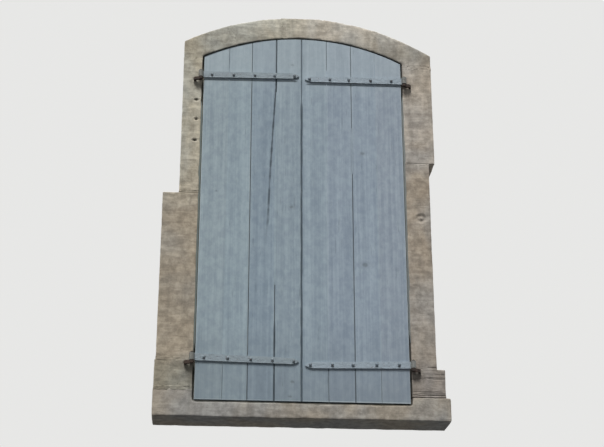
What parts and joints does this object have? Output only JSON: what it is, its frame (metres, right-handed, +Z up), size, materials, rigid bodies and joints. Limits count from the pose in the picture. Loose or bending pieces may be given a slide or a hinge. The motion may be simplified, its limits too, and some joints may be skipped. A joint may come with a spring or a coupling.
{
  "type": "window shutters",
  "caption": "Pair of ledged and braced plank shutters with arched heads, on strap hinges in a dressed stone window surround.",
  "frame": {"origin": "centre of the sill stone's underside", "axes": "+Z up, +X to the right as seen from the street, +Y into the wall; the leaves face -Y"},
  "size_m": [1.536, 0.2291, 2.358],
  "materials": {
    "sill_stone": "matte",
    "jamb_stone": "matte",
    "arch_stone": "matte",
    "lime_mortar": "matte",
    "painted_boards": "matte",
    "painted_ledges": "matte",
    "painted_iron": "satin",
    "rusted_iron": "matte",
    "lock_iron": "satin"
  },
  "bodies": {
    "surround": {"keystone": "arch_stone", "left_jamb_base": "jamb_stone", "left_jamb_lower": "jamb_stone", "left_jamb_upper": "jamb_stone", "left_springer": "arch_stone", "left_voussoir": "arch_stone", "lower_keeper": "rusted_iron", "lower_left_pintle": "rusted_iron", "lower_right_pintle": "rusted_iron", "mortar_joints": "lime_mortar", "right_jamb_base": "jamb_stone", "right_jamb_lower": "jamb_stone", "right_jamb_upper": "jamb_stone", "right_springer": "arch_stone", "right_voussoir": "arch_stone", "sill_stone": "sill_stone", "upper_keeper": "rusted_iron", "upper_left_pintle": "rusted_iron", "upper_right_pintle": "rusted_iron"},
    "left_leaf": {"handle_catch": "lock_iron", "left_board_1": "painted_boards", "left_board_2": "painted_boards", "left_board_3": "painted_boards", "left_board_4": "painted_boards", "left_lower_brace": "painted_ledges", "left_lower_ledge": "painted_ledges", "left_middle_ledge": "painted_ledges", "left_strap_rivets": "painted_iron", "left_strap_roves": "painted_iron", "left_upper_brace": "painted_ledges", "left_upper_ledge": "painted_ledges", "lower_left_strap": "painted_iron", "upper_left_strap": "painted_iron"},
    "right_leaf": {"lower_right_strap": "painted_iron", "lower_rod_bearing": "lock_iron", "middle_rod_bearing": "lock_iron", "right_board_1": "painted_boards", "right_board_2": "painted_boards", "right_board_3": "painted_boards", "right_board_4": "painted_boards", "right_lower_brace": "painted_ledges", "right_lower_ledge": "painted_ledges", "right_middle_ledge": "painted_ledges", "right_strap_rivets": "painted_iron", "right_strap_roves": "painted_iron", "right_upper_brace": "painted_ledges", "right_upper_ledge": "painted_ledges", "upper_right_strap": "painted_iron", "upper_rod_bearing": "lock_iron"},
    "lock_rod": {"handle_pin": "lock_iron", "lower_claw": "lock_iron", "turning_rod": "lock_iron", "upper_claw": "lock_iron"},
    "lock_handle": {"rod_handle": "lock_iron"}
  },
  "joints": [
    {"name": "left_leaf_swing", "type": "hinge", "parent": "surround", "child": "left_leaf", "pos_m": [-0.574, -0.1153, 0], "axis": [0, 0, 1], "range_deg": [-180, 0]},
    {"name": "right_leaf_swing", "type": "hinge", "parent": "surround", "child": "right_leaf", "pos_m": [0.574, -0.1153, 0], "axis": [0, 0, 1], "range_deg": [0, 180]},
    {"name": "rod_turn", "type": "hinge", "parent": "right_leaf", "child": "lock_rod", "pos_m": [0.086, -0.036, 0], "axis": [0, 0, 1], "range_deg": [0, 90]},
    {"name": "handle_lift", "type": "hinge", "parent": "lock_rod", "child": "lock_handle", "pos_m": [0.086, -0.016, 0.9448], "axis": [1, 0, 0], "range_deg": [-35, 55]}
  ]
}
